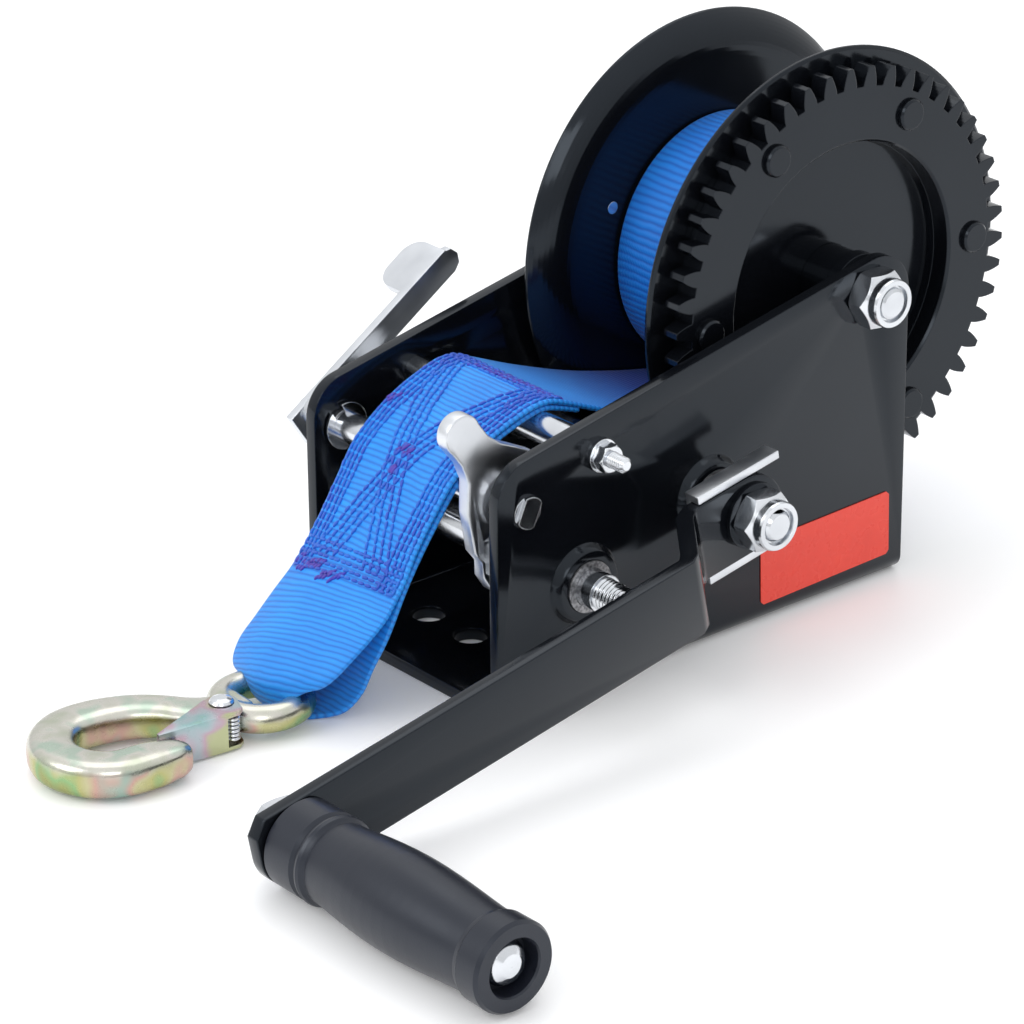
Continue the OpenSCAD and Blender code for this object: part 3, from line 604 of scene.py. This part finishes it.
def stitch_row(verts, faces, start, end, wobble=0.0, chance=None):
    """Stitches along the straight line from (s, u) start to end, on the strap's outer face."""
    face = WEB_T / 2
    span = strap_at(start[0], start[1], face) - strap_at(end[0], end[1], face)
    run = max(abs(start[0] - end[0]), span.length)
    count = max(1, round(run / (STITCH + STITCH_GAP)))
    margin = STITCH_GAP / 2 / (STITCH + STITCH_GAP)
    last = len(STITCH_SHAPE) - 1
    for i in range(count):
        shake = chance.uniform(-wobble, wobble) if chance else 0.0
        first = len(verts)
        low, high = (i + margin) / count, (i + 1 - margin) / count
        line = []
        for share, rise, _ in STITCH_SHAPE:
            t = low + (high - low) * share
            s, u = start[0] + (end[0] - start[0]) * t, start[1] + (end[1] - start[1]) * t
            line.append((strap_at(s, u + shake / WEB_HALF, face + rise * THREAD_R), s, u))
        for k, (centre, s, u) in enumerate(line):
            ahead = (line[min(k + 1, last)][0] - line[max(k - 1, 0)][0]).normalized()
            up = (strap_at(s, u, face + 1) - strap_at(s, u, face)).normalized()
            side = ahead.cross(up).normalized()
            up = side.cross(ahead)
            for j in range(THREAD_SIDES):
                turn = 2 * math.pi * j / THREAD_SIDES
                spoke = side * math.cos(turn) + up * math.sin(turn)
                verts.append((centre + spoke * THREAD_R * STITCH_SHAPE[k][2]) * MM)
        for k in range(last):
            for j in range(THREAD_SIDES):
                p, q = first + k * THREAD_SIDES + j, first + k * THREAD_SIDES + (j + 1) % THREAD_SIDES
                faces.append((p, q, q + THREAD_SIDES, p + THREAD_SIDES))
        faces.append(tuple(first + j for j in range(THREAD_SIDES))[::-1])
        faces.append(tuple(first + last * THREAD_SIDES + j for j in range(THREAD_SIDES)))


# The stitching's ends along the strap, as x in mm, and how near the edge it starts
BOX_TOP_X = -34
BOX_LOW_X = -103.5
BOX_EDGE = 0.93
BOX_BLUE = ((0.006, 0.13, 0.6), (0.012, 0.07, 0.48))
TACK_BLUE = ((0.03, 0.03, 0.42), (0.06, 0.03, 0.36))


def add_box_stitching(chance, top, low):
    """Rows down both edges, rows across both ends, and a cross between them."""
    verts, faces = [], []
    for i in range(4):
        for side in (-1, 1):
            u = side * (BOX_EDGE - i * 0.085)
            stitch_row(verts, faces, (top, u), (low, u), 0.25, chance)
    ends = [top + i * 2 for i in range(4)] + [low - i * 2.2 for i in range(5)]
    for s in ends:
        stitch_row(verts, faces, (s, -BOX_EDGE), (s, BOX_EDGE), 0.3, chance)
    for side in (-1, 1):
        for i in range(4):
            start = side * (BOX_EDGE - 0.02 - i * 0.1)
            end = -side * (0.3 + i * 0.14)
            stitch_row(verts, faces, (top + 4, start), (low - 5, end), 0.3, chance)
    stitching = new_piece("strap_stitching", verts, faces, stitch_thread(*BOX_BLUE), "frame")
    return stitching


def add_bartacks(chance, top, low):
    """Dense blocks of slanted stitches over the box."""
    verts, faces = [], []
    middle = (top + low) / 2
    blocks = [(low + 1, -0.1, 0.3), (low - 1, 0.35, 0.9), (middle, -0.12, 0.12), (top + 2, -0.95, 0.1),
              (middle - 14, 0.8, 0.95), (middle + 8, -0.02, 0.05), (top + 4, -0.2, 0.5)]
    for s, u0, u1 in blocks:
        lines = max(3, round((u1 - u0) * 18))
        step = (u1 - u0) / lines
        for i in range(lines):
            at = s + chance.uniform(-1.2, 1.2)
            stitch_row(verts, faces, (at - 1.8, u0 + step * i), (at + 1.8, u0 + step * (i + 1.4)))
    tacks = new_piece("strap_bartacks", verts, faces, stitch_thread(*TACK_BLUE), "frame")
    return tacks


def add_stitching():
    """Box-and-cross stitching that closes the strap's loop."""
    chance = random.Random(7)
    top, low = length_at(BOX_TOP_X), length_at(BOX_LOW_X)
    return [add_box_stitching(chance, top, low), add_bartacks(chance, top, low)]


# ---------------------------------------------------------------- snap hook

# The hook lies flat; it is drawn in mm ahead of, beside and above the strap's end inside its ring
HOOK_YAW = math.radians(-5)
HOOK_BAR = (-123, 1.5, 6.5)
HOOK_AHEAD = Vector((-math.cos(HOOK_YAW), -math.sin(HOOK_YAW), 0))
HOOK_SIDE = Vector((-math.sin(HOOK_YAW), math.cos(HOOK_YAW), 0))
# Ahead, side, half width and half height: the neck, then the bowl's arc, then the tip
HOOK_NECK = [(18, 0, 7.2, 3.9), (24, 0, 7.6, 3.9), (29, 0.8, 7.4, 3.9), (35, 4, 6.8, 4.4),
             (42, 9.2, 6.6, 5.4), (50, 14, 6.8, 5.7)]
HOOK_TIP = [(54.5, -17.2, 6.2, 5.4), (50.5, -17.4, 4.8, 4.9), (47.6, -17.5, 3.0, 3.8)]
BOWL = (64, 0)
BOWL_R = 17
BOWL_BAR = (7.2, 5.8)
BOWL_ANGLES = [102 - 34 * i for i in range(7)]
HOOK_STEPS = 5
HOOK_SIDES = 28
HOOK_SQUARENESS = 0.62
# The ring: its radius, its bar's radius, and how many steps it takes round each
RING_R = 12
RING_BAR_R = 4.5
RING_STEPS = 56
RING_SIDES = 20
# The ring and the bar are fused into one forging
FUSE_VOXEL = 0.55 * MM
FUSE_SMOOTHS = 8


def on_hook(ahead, side, up):
    return (Vector(HOOK_BAR) + HOOK_AHEAD * ahead + HOOK_SIDE * side + Vector((0, 0, up))) * MM


def rounded(value, power):
    """A sine or cosine turned into that of a squarish circle; a smaller power is squarer."""
    return math.copysign(abs(value) ** power, value)


def sweep(outline, sides, power):
    """A closed bar: outline holds (ahead, side, half width, half height)."""
    verts, faces = [], []
    last = len(outline) - 1
    for i, (a, b, half, tall) in enumerate(outline):
        before, after = outline[max(i - 1, 0)], outline[min(i + 1, last)]
        ahead = Vector((after[0] - before[0], after[1] - before[1])).normalized()
        for k in range(sides):
            turn = 2 * math.pi * k / sides
            out = rounded(math.cos(turn), power) * half
            verts.append(on_hook(a - ahead.y * out, b + ahead.x * out, rounded(math.sin(turn), power) * tall))
    for i in range(last):
        for k in range(sides):
            p, q = i * sides + k, i * sides + (k + 1) % sides
            faces.append((p, p + sides, q + sides, q))
    faces.append(tuple(range(sides)))
    faces.append(tuple(range(last * sides, (last + 1) * sides))[::-1])
    return verts, faces


def hook_outline():
    bowl = []
    for angle in BOWL_ANGLES:
        a = math.radians(angle)
        bowl.append((BOWL[0] + BOWL_R * math.cos(a), BOWL[1] + BOWL_R * math.sin(a), *BOWL_BAR))
    return spline(HOOK_NECK + bowl + HOOK_TIP, HOOK_STEPS)


def add_ring(verts, faces):
    first = len(verts)
    for i in range(RING_STEPS):
        a = 2 * math.pi * i / RING_STEPS
        for k in range(RING_SIDES):
            b = 2 * math.pi * k / RING_SIDES
            reach = RING_R + RING_BAR_R * math.cos(b)
            verts.append(on_hook(RING_R + reach * math.cos(a), reach * math.sin(a), RING_BAR_R * math.sin(b)))
    for i in range(RING_STEPS):
        here, there = first + i * RING_SIDES, first + (i + 1) % RING_STEPS * RING_SIDES
        for k in range(RING_SIDES):
            after = (k + 1) % RING_SIDES
            faces.append((here + k, there + k, there + after, here + after))


def add_hook():
    verts, faces = sweep(hook_outline(), HOOK_SIDES, HOOK_SQUARENESS)
    add_ring(verts, faces)
    hook = new_piece("forged_hook", verts, faces, SLOT_MATERIALS["yellow_zinc"], "snap_hook")
    remesh = hook.modifiers.new("remesh", "REMESH")
    remesh.mode = "VOXEL"
    remesh.voxel_size = FUSE_VOXEL
    remesh.use_smooth_shade = True
    smooth = hook.modifiers.new("smooth", "SMOOTH")
    smooth.factor = 0.5
    smooth.iterations = FUSE_SMOOTHS
    apply_modifiers(hook)
    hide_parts("hook")
    return hook


def apply_modifiers(piece):
    graph = bpy.context.evaluated_depsgraph_get()
    graph.update()
    mesh = bpy.data.meshes.new_from_object(piece.evaluated_get(graph))
    piece.modifiers.clear()
    old = piece.data
    piece.data = mesh
    bpy.data.meshes.remove(old)


# ---------------------------------------------------------------- folded and cut metal with real edges

SATIN_ZINC = zinc_plate("satin_zinc_plate", 0.28, 0.4)
# CAD node: how far its edges are rounded in mm, and a metal of its own where it has one
ROUNDED = {
    "frame": (0.6, None),
    "crank_arm": (0.6, None),
    "pawl": (0.7, SATIN_ZINC),
    "pawl_lever": (0.5, SATIN_ZINC),
    "crank_clip": (0.4, SATIN_ZINC),
    "latch": (0.3, latch_zinc()),
    "low_speed_gear": (0.3, None),
}
# Angles in degrees: faces nearer than the first are one flat; edges sharper than the others
# are rounded, and stay sharp in the shading
FLAT_ANGLE = 0.5
ROUND_ANGLE = 35
SHARP_ANGLE = 28
BEVEL_STEPS = 3


def add_rounded(name, radius, material):
    """A copy of a CAD node whose sharp edges are rounded over, in place of the node."""
    source = frame["nodes"][name]
    mesh = source.data.copy()
    made = bpy.data.objects.new("rounded_" + name, mesh)
    bpy.context.scene.collection.objects.link(made)
    made.matrix_world = source.matrix_world
    work = bmesh.new()
    work.from_mesh(mesh)
    bmesh.ops.remove_doubles(work, verts=work.verts, dist=0.001 * MM)
    bmesh.ops.dissolve_limit(work, angle_limit=math.radians(FLAT_ANGLE), verts=work.verts, edges=work.edges)
    work.to_mesh(mesh)
    work.free()
    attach(made, body_of(name))
    bevel = made.modifiers.new("bevel", "BEVEL")
    bevel.width = radius * MM
    bevel.segments = BEVEL_STEPS
    bevel.limit_method = "ANGLE"
    bevel.angle_limit = math.radians(ROUND_ANGLE)
    bevel.use_clamp_overlap = True
    apply_modifiers(made)
    made.data.polygons.foreach_set("use_smooth", [True] * len(made.data.polygons))
    made.data.set_sharp_from_angle(angle=math.radians(SHARP_ANGLE))
    if material:
        made.data.materials.clear()
        made.data.materials.append(material)
    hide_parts(name)
    return made


def body_of(name):
    return next(body for body, nodes in frame["record"]["behaviour"]["bodies"].items() if name in nodes)


# ---------------------------------------------------------------- scene

add_camera()
add_studio()
dress_cad_nodes()
strap = add_strap()
stitching = add_stitching()
add_coil()
add_hook()
for rounded_name, (rounded_by, rounded_in) in ROUNDED.items():
    add_rounded(rounded_name, rounded_by, rounded_in)
